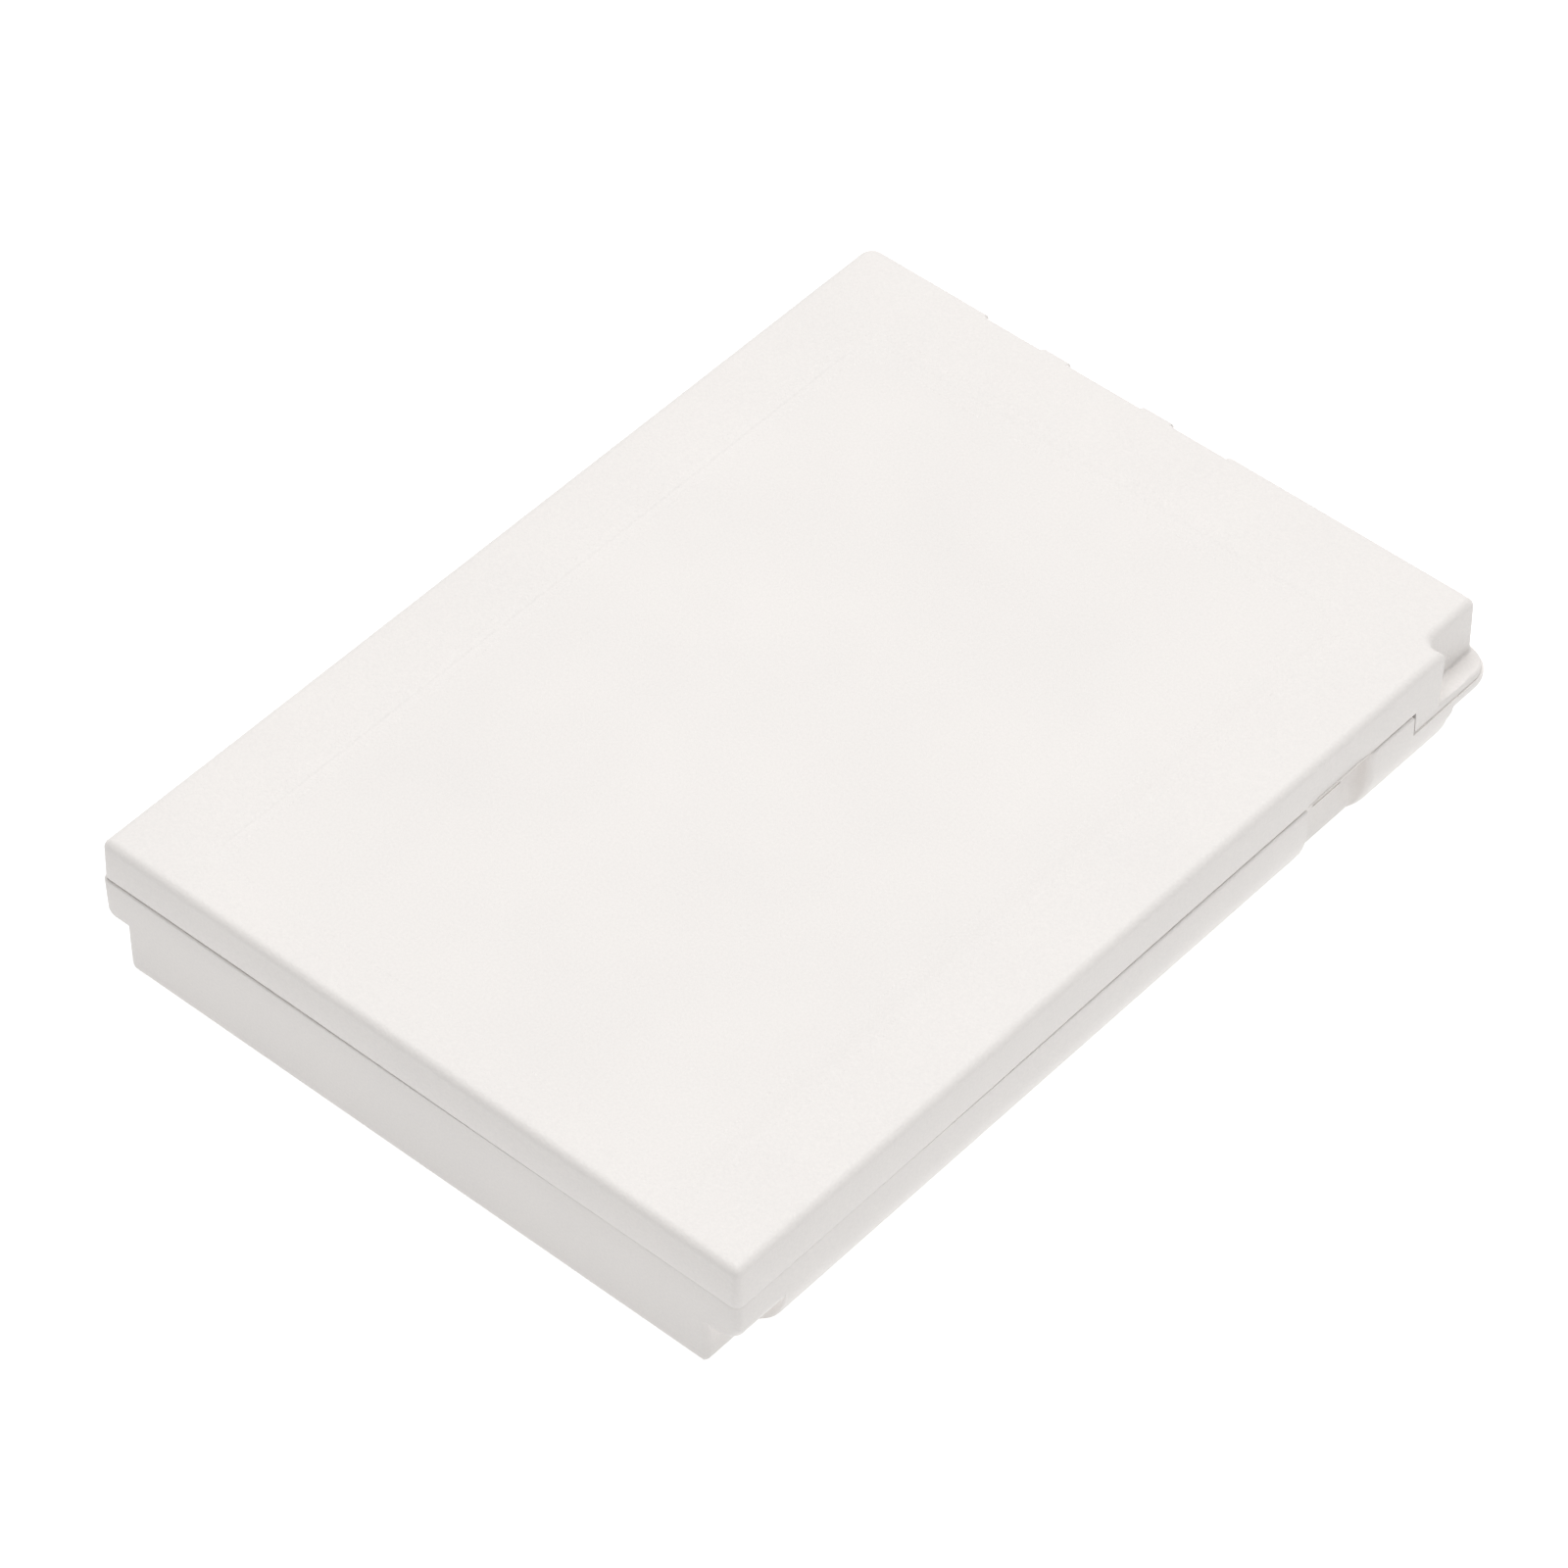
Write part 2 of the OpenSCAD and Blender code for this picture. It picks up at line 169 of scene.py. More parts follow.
# bay for the cell, and the shallow field on top
bay_hw, bay_y0, bay_y1, bay_r = half_w - 2.6, -half_l + wall, half_l - contact_wall, 0.8
bay_middle, bay_hl = np.array((0, (bay_y0 + bay_y1) / 2)), (bay_y1 - bay_y0) / 2
ceiling = top - wall
field_hw, field_hl, field_r, field_depth = 15.7, 24.5, 2.0, 0.06
field_middle = np.array((-0.2, -1.7))
field_step, field_run = 0.22, 0.8    # width of its edge: crisp at -X, softer at +X
field_end_run = 0.45          # and at both ends
flat_margin = 0.3             # flat ring outside the edge of the field, or of the label's recess
flat_inside = 0.97            # the ring inside that edge starts at this share of the way out

arc_steps = 8                 # each rounded corner's arc is cut into this many
run_step = 1.1                # spacing of the points along a straight run
nearly_straight = 1.565       # a corner whose half angle is above this isn't rounded
arc_room = 0.98               # share of a run that the arcs at its two ends may take


def rounded_loop(corners, radii, run_points):
    """Closed outline through given corners, each rounded by an arc that touches both of
    its straight runs. Radii shrink where two arcs would meet on a short run. A corner
    always gives arc_steps + 1 points, and each run the number of points asked for, so
    two outlines with the same corners match point for point."""
    corners, radii = np.asarray(corners, float), np.asarray(radii, float)
    ahead = np.roll(corners, -1, axis=0) - corners
    length = np.linalg.norm(ahead, axis=1)
    forward = ahead / np.maximum(length, 1e-9)[:, None]
    backward = -np.roll(forward, 1, axis=0)
    half_angle = np.arccos(np.clip((forward * backward).sum(1), -1, 1)) / 2
    flat = (length < 1e-6) | (np.roll(length, 1) < 1e-6) | (half_angle > nearly_straight)
    reach = np.where(flat, 0, radii / np.tan(np.where(flat, 1, half_angle)))
    room_left = np.minimum(1, arc_room * length / np.maximum(reach + np.roll(reach, -1), 1e-9))
    reach = reach * np.minimum(room_left, np.roll(room_left, 1))
    start, end = corners + backward * reach[:, None], corners + forward * reach[:, None]
    inward = forward + backward
    inward /= np.maximum(np.linalg.norm(inward, axis=1), 1e-9)[:, None]
    centre = corners + inward * (reach / np.cos(np.where(flat, 0, half_angle)))[:, None]
    sweep = np.where(flat, 1, np.pi - 2 * half_angle)[:, None, None]
    share = np.linspace(0, 1, arc_steps + 1)[None, :, None]
    arcs = centre[:, None] + (np.sin((1 - share) * sweep) * (start - centre)[:, None]
                              + np.sin(share * sweep) * (end - centre)[:, None]) / np.sin(sweep)
    arcs = np.where((flat | (reach < 1e-6))[:, None, None], start[:, None], arcs)
    pieces = []
    for arc, tail, head, count in zip(arcs, end, np.roll(start, -1, axis=0), run_points):
        pieces.append(arc)
        pieces.append(tail + (head - tail) * (np.arange(1, count + 1) / (count + 1))[:, None])
    return np.concatenate(pieces)


def onto_rounded_rect(points, middle, hw, hl, r):
    """The nearest point of a rounded rectangle to each point outside it."""
    local = points - middle
    core = np.clip(local, (-hw + r, -hl + r), (hw - r, hl - r))
    away = local - core
    return middle + core + r * away / np.linalg.norm(away, axis=1)[:, None]


def stack(levels, openings=()):
    """Closed skin through a list of (outline, height) levels with matching points, where
    a height is one number or one per point. The first and last levels are closed by a
    fan to the middle of each. An opening (u0, u1, j0, j1) leaves out the skin between
    points u0 and u1 and levels j0 and j1, and closes the cut walls instead: a jamb at
    each side and a sill between the two levels. Returns points in millimetres and faces."""
    rings = [np.column_stack((xy, np.broadcast_to(z, len(xy)))) for xy, z in levels]
    count = len(rings[0])
    points = np.concatenate(rings + [rings[0].mean(0)[None], rings[-1].mean(0)[None]])
    here = np.arange(count)
    after = (here + 1) % count
    faces = []
    for j in range(len(rings) - 1):
        low, high = j * count, (j + 1) * count
        kept = np.ones(count, bool)
        for u0, u1, j0, j1 in openings:
            kept[u0:u1] &= not j0 <= j < j1
        faces += np.column_stack((low + here, low + after, high + after, high + here))[kept].tolist()
    for u0, u1, j0, j1 in openings:
        first, last, span = j0 * count, j1 * count, np.arange(u0, u1)
        faces += np.column_stack((first + span, first + span + 1, last + span + 1, last + span)).tolist()
        rows = np.arange(j0, j1 + 1) * count
        faces += [(rows + u0).tolist(), (rows + u1)[::-1].tolist()]
    first, last = len(rings) * count, len(rings) * count + 1
    bottom = (len(rings) - 1) * count
    faces += np.column_stack((after, here, np.full(count, first))).tolist()
    faces += np.column_stack((bottom + here, bottom + after, np.full(count, last))).tolist()
    return points, faces


merge_within = 0.0002         # points closer than this become one


def make_piece(name, points, faces, material, crease=35):
    """A mesh object in metres from points in millimetres. Points that coincide are
    merged, faces turn outwards, and edges sharper than the crease angle stay sharp."""
    mesh = bpy.data.meshes.new(name)
    mesh.from_pydata((np.asarray(points) * MM).tolist(), [], faces)
    work = bmesh.new()
    work.from_mesh(mesh)
    bmesh.ops.remove_doubles(work, verts=work.verts, dist=merge_within * MM)
    bmesh.ops.dissolve_degenerate(work, edges=work.edges, dist=merge_within * MM / 2)
    bmesh.ops.recalc_face_normals(work, faces=work.faces)
    work.to_mesh(mesh)
    work.free()
    mesh.polygons.foreach_set("use_smooth", [True] * len(mesh.polygons))
    mesh.set_sharp_from_angle(angle=math.radians(crease))
    mesh.materials.append(material)
    piece = bpy.data.objects.new(name, mesh)
    bpy.context.scene.collection.objects.link(piece)
    return piece


def groove_corners(y_end, y_floor):
    """Corners of the contact end from +X to -X: down into each groove, past its window
    and out again."""
    return [(x, y) for x0, x1 in grooves
            for x, y in ((x1, y_end), (x1, y_floor), (x1 - window_margin, y_floor),
                         (x0 + window_margin, y_floor), (x0, y_floor), (x0, y_end))]


groove_radii = [groove_corner_r, groove_corner_r, 0, 0, groove_corner_r, groove_corner_r] * len(grooves)


def run_counts(corners):
    """How many points each straight run needs, at about one per run_step."""
    corners = np.asarray(corners)
    length = np.linalg.norm(np.roll(corners, -1, axis=0) - corners, axis=1)
    return (length / run_step).astype(int)


def window_columns(first_groove_corner, run_points):
    """First and last outline point of each window, from the corner where grooves begin. A
    window reaches from its groove's third corner to its fourth."""
    corner_at = np.concatenate(([0], np.cumsum(run_points + arc_steps + 1)))
    third = first_groove_corner + corners_per_groove * np.arange(len(grooves)) + 2
    return [(int(corner_at[i]) + arc_steps, int(corner_at[i + 1])) for i in third]


def smooth(share):
    """A share from 0 to 1 made to start and end level: 3 share^2 - 2 share^3."""
    return share * share * (3 - 2 * share)


def quarter(r, rise):
    """How far a rounded edge of radius r stands in at a height above its foot."""
    return r - math.sqrt(max(r * r - max(r - rise, 0) ** 2, 0))


def seam_ease(points):
    """0 at the near corner, where the weld closed fully, rising to 1 further off."""
    far = np.linalg.norm(points - np.array((half_w, -half_l)), axis=1)
    return smooth(np.clip((far - closed_reach) / opening_reach, 0, 1))


def lid_corners(inset, groove_inset, keyed, height=0.0):
    """Corners of the lid's outline, moved in from its walls by an inset, and from the
    grooves' floors by an inset of their own. The keyed outline follows the notch at a
    height from 0 at its floor to 1 at the top; the full one follows the tab below it."""
    x, y = half_w - inset, half_l - inset
    if keyed:
        mouth_y = key_y + mouth_lean * height - inset
        notch = [(x, mouth_y), (key_x - inset, mouth_y), (key_x - inset, y - end_lean * (1 - height))]
    else:
        notch = [(x, key_y), (x, (key_y + half_l) / 2), (x, y - tab_taper)]
    tab_end = (tab_x - tab_end_pull * inset, y)
    return [(x, -y), (x, tab_y), (x, tab_y), *notch, tab_end, tab_end,
            *groove_corners(y, half_l - groove_depth - groove_inset), (-x, y), (-x, -y)]


def lid_radii(inset, keyed):
    """Radii of those corners: an inset takes from an outside corner and adds inside."""
    notch = ([key_mouth_r - inset, key_root_r + inset, corner_r - inset] if keyed
             else [0, 0, tab_r])
    return np.maximum([corner_r - inset, 0, 0, *notch, 0, 0, *groove_radii,
                       far_corner_r - inset, corner_r - inset], least_r)


lid_runs = run_counts(lid_corners(0, 0, True))
lid_tab_corners, lid_groove_corner = (2, 6), 8    # where that outline comes to its tab and grooves


def lid_loop(inset, groove_inset=0.0, keyed=True, height=0.0):
    """The lid's outline at an inset. Its points match those of every other such outline."""
    return rounded_loop(lid_corners(inset, groove_inset, keyed, height),
                        lid_radii(inset, keyed), lid_runs)


# Which points belong to the tab: those from the slit at its front to its end face
lid_first = np.concatenate(([0], np.cumsum(lid_runs + arc_steps + 1)))
on_tab = np.zeros(lid_first[-1], bool)
on_tab[lid_first[lid_tab_corners[0]]:lid_first[lid_tab_corners[1]] + arc_steps + 1] = True

lid_full = lid_loop(0, keyed=False)
lid_keyed = lid_loop(0)
notch_way = lid_full - lid_keyed
notch_span = np.linalg.norm(notch_way, axis=1)
notch_way /= np.maximum(notch_span, 1e-9)[:, None]
notch_round = np.minimum(key_edge_r, notch_span)

lid_ease = seam_ease(lid_full)
lip = np.clip(np.minimum(lid_full[:, 1] - lip_y0, lip_y1 - lid_full[:, 1]) / lip_end, 0, 1)
lip = np.where(lid_full[:, 0] > 0, lip, 0)
lid_rim = closed_rim_r + (lid_rim_r - closed_rim_r) * lid_ease
lid_rim = np.where(on_tab, tab_rim_r, lid_rim) + lip_rise * lip
lid_low = seam + seam_gap * (closed_share + (1 - closed_share) * lid_ease)
lid_low = np.where(on_tab, tab_bottom, lid_low)
lid_rim_top = lid_low + lid_rim
lid_inset = lid_loop(rim_in, rim_in, keyed=False)
lid_inner = np.where(on_tab[:, None], np.column_stack((np.full(len(lid_full), tab_x), lid_full[:, 1])),
                     lid_inset)
lid_inner_step = (lid_inset - lid_full) / rim_in
field = onto_rounded_rect(lid_full, field_middle, field_hw, field_hl, field_r)
field_foot = onto_rounded_rect(
    lid_full, field_middle + np.array(((field_step - field_run) / 2, 0)),
    field_hw - (field_step + field_run) / 2, field_hl - field_end_run, field_r)
field_rim = onto_rounded_rect(lid_full, field_middle, field_hw + flat_margin,
                              field_hl + flat_margin, field_r + flat_margin)
bay = onto_rounded_rect(lid_full, bay_middle, bay_hw, bay_hl, bay_r)


def lean(z):
    """How far the lid's wall stands in at a height, from its draft."""
    return draft * (z - seam) / (top - seam)


def key_height(z):
    """Height up the notch: 0 at its floor and 1 at the top face."""
    return (z - key_floor) / (top - key_floor)


lid_levels = [(field_middle + (field_foot - field_middle) * flat_inside, top - field_depth),
              (field_foot, top - field_depth)]
for share in (0.25, 0.5, 0.75):
    lid_levels.append((field_foot + (field - field_foot) * share,
                       top - field_depth * (1 - smooth(share))))
lid_levels += [(field, top), (field_rim, top)]
for angle in np.radians(np.linspace(90, 0, 9)):
    fall, lean_in = edge_r * (1 - math.sin(angle)), edge_r * (1 - math.cos(angle))
    lid_levels.append((lid_loop(lean(top - fall) + lean_in, quarter(groove_edge_r, fall),
                                height=key_height(top - fall)), top - fall))
window_head = len(lid_levels)
lid_levels.append((lid_loop(lean(window_top), height=key_height(window_top)), window_top))
lid_levels.append((lid_keyed, np.where(on_tab, key_floor + key_foot_r, lid_rim_top)))
for angle in np.radians((30, 60, 90)):
    out, drop = 1 - math.cos(angle), math.sin(angle)
    root = lid_keyed + notch_way * np.minimum(key_foot_r, notch_span)[:, None] * out
    lid_levels.append((root, np.where(on_tab, key_floor + key_foot_r * (1 - drop), lid_rim_top)))
for angle in np.radians(np.linspace(0, 90, 6)):
    edge = lid_full - notch_way * (notch_round * (1 - math.sin(angle)))[:, None]
    lid_levels.append((np.where(on_tab[:, None], edge, lid_keyed),
                       np.where(on_tab, key_floor - notch_round * (1 - math.cos(angle)), lid_rim_top)))
for angle in np.radians(np.linspace(0, 90, 5)):
    shrink = lid_rim * (1 - math.cos(angle))
    lid_levels.append((lid_full + lid_inner_step * shrink[:, None]
                       + lip[:, None] * np.array((lip_out, 0)),
                       lid_low + lid_rim * (1 - math.sin(angle))))
lid_levels += [(lid_inner, lid_low), (lid_inner, seam), (bay, seam), (bay, window_top), (bay, ceiling)]
# Away from the near corner the lid is a little smaller than the tray, so the tray's edge
# shows below the seam
lid_levels = [(xy + np.column_stack((-lid_side_gap * xy[:, 0] / half_w,
                                     lid_front_gap * (half_l - xy[:, 1]) / (2 * half_l)))
               * lid_ease[:, None], z) for xy, z in lid_levels]
lid_windows = [(u0, u1, window_head, len(lid_levels) - 2)
               for u0, u1 in window_columns(lid_groove_corner, lid_runs)]


def mottle_group():
    """Node group for the fine unevenness of a moulded, rolled or coated surface. Fine
    noise gives a grain height and small changes of tone and roughness, and slow noise
    gives faint clouds. Scales are features per millimetre, and a stretch below 1 draws
    the pattern out along that axis, as rolling or brushing does."""
    group = bpy.data.node_groups.new("mottle", "ShaderNodeTree")
    for name, kind, value in (("Tone", "NodeSocketColor", (0.8, 0.8, 0.8, 1)),
                              ("Second Tone", "NodeSocketColor", (0.75, 0.75, 0.75, 1)),
                              ("Stretch", "NodeSocketVector", (1, 1, 1)),
                              ("Grain Scale", "NodeSocketFloat", 8.0),
                              ("Cloud Scale", "NodeSocketFloat", 0.15),
                              ("Grain Contrast", "NodeSocketFloat", 0.3),
                              ("Low Roughness", "NodeSocketFloat", 0.4),
                              ("High Roughness", "NodeSocketFloat", 0.6)):
        socket = group.interface.new_socket(name, in_out="INPUT", socket_type=kind)
        socket.default_value = value
    for name, kind in (("Color", "NodeSocketColor"), ("Roughness", "NodeSocketFloat"),
                       ("Height", "NodeSocketFloat")):
        group.interface.new_socket(name, in_out="OUTPUT", socket_type=kind)
    nodes, links = group.nodes, group.links
    given, result = nodes.new("NodeGroupInput"), nodes.new("NodeGroupOutput")
    place = nodes.new("ShaderNodeTexCoord")
    in_mm = nodes.new("ShaderNodeVectorMath")
    in_mm.operation = "SCALE"
    in_mm.inputs["Scale"].default_value = 1 / MM
    links.new(place.outputs["Object"], in_mm.inputs[0])
    drawn = nodes.new("ShaderNodeVectorMath")
    drawn.operation = "MULTIPLY"
    links.new(in_mm.outputs["Vector"], drawn.inputs[0])
    links.new(given.outputs["Stretch"], drawn.inputs[1])
    noises = []
    for scale, detail in (("Grain Scale", 2), ("Cloud Scale", 3)):
        noise = nodes.new("ShaderNodeTexNoise")
        noise.inputs["Detail"].default_value = detail
        links.new(drawn.outputs["Vector"], noise.inputs["Vector"])
        links.new(given.outputs[scale], noise.inputs["Scale"])
        noises.append(noise)
    grain, cloud = noises
    tone_share = nodes.new("ShaderNodeMix")
    links.new(given.outputs["Grain Contrast"], tone_share.inputs["Factor"])
    links.new(cloud.outputs["Fac"], tone_share.inputs["A"])
    links.new(grain.outputs["Fac"], tone_share.inputs["B"])
    tone = nodes.new("ShaderNodeMix")
    tone.data_type = "RGBA"
    links.new(tone_share.outputs["Result"], tone.inputs["Factor"])
    links.new(given.outputs["Tone"], tone.inputs["A"])
    links.new(given.outputs["Second Tone"], tone.inputs["B"])
    links.new(tone.outputs["Result"], result.inputs["Color"])
    sheen = nodes.new("ShaderNodeMix")
    links.new(grain.outputs["Fac"], sheen.inputs["Factor"])
    links.new(given.outputs["Low Roughness"], sheen.inputs["A"])
    links.new(given.outputs["High Roughness"], sheen.inputs["B"])
    links.new(sheen.outputs["Result"], result.inputs["Roughness"])
    links.new(grain.outputs["Fac"], result.inputs["Height"])
    return group


mottle = mottle_group()


def mottled(name, tone, second, grain, cloud, contrast, rough, relief, metallic=0.0,
            stretch=(1, 1, 1)):
    """A material whose tone, roughness and relief come from the mottle group. The relief
    is the height of the grain in millimetres."""
    material = bpy.data.materials.new(name)
    material.use_nodes = True
    nodes, links = material.node_tree.nodes, material.node_tree.links
    shader = nodes["Principled BSDF"]
    shader.inputs["Metallic"].default_value = metallic
    surface = nodes.new("ShaderNodeGroup")
    surface.node_tree = mottle
    for socket, value in (("Tone", (*tone, 1)), ("Second Tone", (*second, 1)),
                          ("Stretch", stretch), ("Grain Scale", grain), ("Cloud Scale", cloud),
                          ("Grain Contrast", contrast), ("Low Roughness", rough[0]),
                          ("High Roughness", rough[1])):
        surface.inputs[socket].default_value = value
    bump = nodes.new("ShaderNodeBump")
    bump.inputs["Distance"].default_value = relief * MM
    links.new(surface.outputs["Color"], shader.inputs["Base Color"])
    links.new(surface.outputs["Roughness"], shader.inputs["Roughness"])
    links.new(surface.outputs["Height"], bump.inputs["Height"])
    links.new(bump.outputs["Normal"], shader.inputs["Normal"])
    return material


abs_white = mottled("sparked_white_abs", tone=(0.90, 0.865, 0.835), second=(0.77, 0.745, 0.73),
                    grain=7.0, cloud=0.12, contrast=0.6, rough=(0.48, 0.64), relief=0.02)
lid = make_piece("upper_shell", *stack(lid_levels, lid_windows), abs_white)
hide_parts("top_cover")
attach(lid, "root")

# ---------------------------------------------------------------- lower shell
# The tray of the case is the other moulding in the same ABS. It is a shallow boat with
# big round long edges, narrower under a rail at both ends. It has a latch recess in the
# +X side, a pocket for the lid's tab, and the same three grooves down the contact end.
side_r = 4.1
end_hw, end_zone = half_w - 1.95, 3.25
end_skew = 0.58               # the ends below the rails reach this much further at -X
end_r, end_side_r, end_corner_r = 0.55, 0.9, 0.45
end_cut = 0.6                 # how far the ends' corners are cut back below the rails
rail_z, rail_r, left_rail_r, left_rail_lean = 3.3, 0.8, 0.3, 0.06
rail_corner_r = corner_r
tray_least_r = 0.05           # no corner of the tray is sharper than this
root_r, step_r, near_step_r = 0.3, 0.5, 0.12      # where the ends meet the middle
latch_x, latch_y0, latch_y1, latch_r = half_w - 1.3, 13.3, 18.15, 0.65
latch_mouth_r, latch_root_r, latch_far_r = 0.15, 0.3, 0.4
catch_y0, catch_y1, catch_z0, catch_z1, catch_depth = 15.2, 17.5, 3.35, 3.95, 0.55
catch_skew = 1.6              # above 1, the slot is deepest past its middle
pocket_gaps = (0.1, 0.15, 0.005)      # how much the pocket is larger than the tab, each way
pocket_x, pocket_y, pocket_z = (at - gap for at, gap in zip((tab_x, tab_y, tab_bottom), pocket_gaps))
pocket_r, pocket_root_r = 0.04, 0.2
groove_z = 1.6
bay_floor, bay_floor_r = wall, 1.2
label_hw, label_hl, label_r, label_depth = 15, 24, 1.2, 0.15
zone_y = half_l - end_zone


def tray_corners(z, above=False, inset=0.0):
    """Corners of the tray's outline at a height. At a height where a ledge lies, above
    picks the outline over it. An inset moves the walls in."""
    railed = z > rail_z or (z == rail_z and above)
    pocketed = z > pocket_z or (z == pocket_z and above)
    grooved = z > groove_z or (z == groove_z and above)
    mid = half_w - quarter(side_r, z) - inset
    end = end_hw - quarter(end_side_r, z)
    rail, left_rail = end, end + end_skew
    if railed:
        rail = half_w - quarter(rail_r, z - rail_z) - inset
        left_rail = (half_w - quarter(left_rail_r, z - rail_z) - inset
                     - left_rail_lean * (seam - z) / (seam - rail_z))
    y = half_l - quarter(end_r, z) - inset
    back_off = 0 if railed else end_cut
    latch = min(latch_x - inset, mid)
    far = pocket_x - inset if pocketed else rail
    far_mid = pocket_x - inset if pocketed else mid
    floor_y = half_l - groove_depth - inset if grooved else y
    return [(end, -y), (rail, -y + back_off), (rail, -zone_y), (mid, -zone_y),
            (mid, latch_y0 - inset), (latch, latch_y0 - inset), (latch, latch_y1 + inset),
            (mid, latch_y1 + inset), (mid, pocket_y - inset), (far_mid, pocket_y - inset),
            (far_mid, zone_y), (far, zone_y), (far, y - back_off), (min(end, far), y),
            *groove_corners(y, floor_y),
            (-end - end_skew, y), (-left_rail, y - back_off), (-left_rail, zone_y), (-mid, zone_y),
            (-mid, -zone_y), (-left_rail, -zone_y), (-left_rail, -y + back_off), (-end - end_skew, -y)]


def tray_radii(z, inset=0.0):
    """Radii of those corners."""
    low = max(end_corner_r - quarter(end_side_r, z), tray_least_r)
    out = max(rail_corner_r - inset, tray_least_r)
    far = root_r if z > pocket_z else tab_r
    return [low, out, root_r, near_step_r, latch_mouth_r, latch_root_r, latch_r, latch_far_r,
            pocket_r, pocket_root_r, step_r, root_r, far, low, *groove_radii,
            low, far_corner_r, root_r, step_r, step_r, root_r, out, low]


# Runs between the ends' corners and the rails' need a point even where they are short,
# and the run along the latch recess needs enough for its slot
tray_groove_corner = 14
latch_run, latch_points = 5, 18
tray_runs = run_counts(tray_corners(seam))
corner_runs = [0, tray_groove_corner - 1, tray_groove_corner + corners_per_groove * len(grooves), -1]
tray_runs[corner_runs] = np.maximum(tray_runs[corner_runs], 1)
tray_runs[latch_run] = latch_points
tray_first = np.concatenate(([0], np.cumsum(tray_runs + arc_steps + 1)))
latch_wall = slice(tray_first[latch_run] + arc_steps, tray_first[latch_run + 1] + 1)


def tray_loop(z, above=False, inset=0.0):
    """The tray's outline at a height. Where the latch's catch slot lies, the recess's
    wall goes further in by depth * sin(pi * share ** skew), where share runs from 0 to 1
    between the slot's two ends."""
    loop = rounded_loop(tray_corners(z, above, inset), tray_radii(z, inset), tray_runs)
    if catch_z0 < z < catch_z1 or (z == catch_z0 and above) or (z == catch_z1 and not above):
        share = np.clip((loop[latch_wall, 1] - catch_y0) / (catch_y1 - catch_y0), 0, 1)
        loop[latch_wall, 0] -= catch_depth * np.sin(math.pi * share ** catch_skew)
    return loop


tray_full = tray_loop(seam)
tray_ease = seam_ease(tray_full)
tray_rim = closed_rim_r + (tray_rim_r - closed_rim_r) * tray_ease
tray_high = seam - seam_gap * (closed_share + (1 - closed_share) * tray_ease)
tray_inner = tray_loop(seam, inset=rim_in)
tray_inner_step = (tray_inner - tray_full) / rim_in
tray_sole = tray_loop(0)
label_edge = onto_rounded_rect(tray_sole, np.zeros(2), label_hw, label_hl, label_r)
tray_bay = onto_rounded_rect(tray_full, bay_middle, bay_hw, bay_hl, bay_r)
label_rim = onto_rounded_rect(tray_sole, np.zeros(2), label_hw + flat_margin,
                              label_hl + flat_margin, label_r + flat_margin)
tray_levels = [(label_edge * flat_inside, label_depth), (label_edge, label_depth), (label_edge, 0),
               (label_rim, 0), (tray_sole, 0)]
# The tray's levels lie every six degrees round its long edges, close together just over the
# sole and the rails' undersides, once under the pocket, and where each other curve ends
sole_steps, rail_steps, under_pocket = (0.04, 0.12), (0.02, 0.1, 0.2, left_rail_r, rail_r), 4.2
side_heights = {round(side_r * (1 - math.cos(math.radians(a))), 3) for a in range(6, 90, 6)}
tray_heights = sorted(side_heights | {*sole_steps, end_r, window_bottom, under_pocket, side_r}
                      | {rail_z + step for step in rail_steps})
for z in tray_heights:
    for ledge in (groove_z, rail_z, catch_z0, catch_z1, pocket_z):
        if tray_levels[-1][1] < ledge < z:
            tray_levels += [(tray_loop(ledge), ledge), (tray_loop(ledge, above=True), ledge)]
    if z == window_bottom:
        window_sill = len(tray_levels)
    tray_levels.append((tray_loop(z), z))
tray_levels += [(tray_loop(pocket_z), pocket_z), (tray_loop(pocket_z, above=True), pocket_z)]
for angle in np.radians(np.linspace(0, 90, 5)):
    shrink = tray_rim * (1 - math.cos(angle))
    tray_levels.append((tray_full + tray_inner_step * shrink[:, None],
                        tray_high - tray_rim * (1 - math.sin(angle))))
tray_levels += [(tray_inner, tray_high), (tray_inner, seam), (tray_bay, seam),
                (tray_bay, window_bottom)]
window_end = len(tray_levels) - 1
for angle in np.radians(np.linspace(0, 90, 7)):
    shrink = bay_floor_r * (1 - math.cos(angle))
    tray_levels.append((onto_rounded_rect(tray_full, bay_middle, bay_hw - shrink, bay_hl,
                                          max(bay_r - shrink, tray_least_r)),
                        bay_floor + bay_floor_r * (1 - math.sin(angle))))
tray_windows = [(u0, u1, window_sill, window_end)
                for u0, u1 in window_columns(tray_groove_corner, tray_runs)]
tray = make_piece("lower_shell", *stack(tray_levels, tray_windows), abs_white)
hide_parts("bottom_case")
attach(tray, "root")

# ---------------------------------------------------------------- contacts
# Three gold-plated brass blocks stand on the board, one behind each window. Their faces
# are a little inside the grooves' floors, with rounded edges from the stamping, and a
# rim of solder runs round each foot.
contact_edge_r, contact_corner_r, contact_least_r = 0.18, 0.22, 0.03
gold_plate = mottled("gold_plate", tone=(0.88, 0.66, 0.27), second=(0.78, 0.55, 0.20),
                     grain=5.0, cloud=0.4, contrast=0.5, rough=(0.2, 0.34), relief=0.003,
                     metallic=1.0, stretch=(1, 1, 0.15))


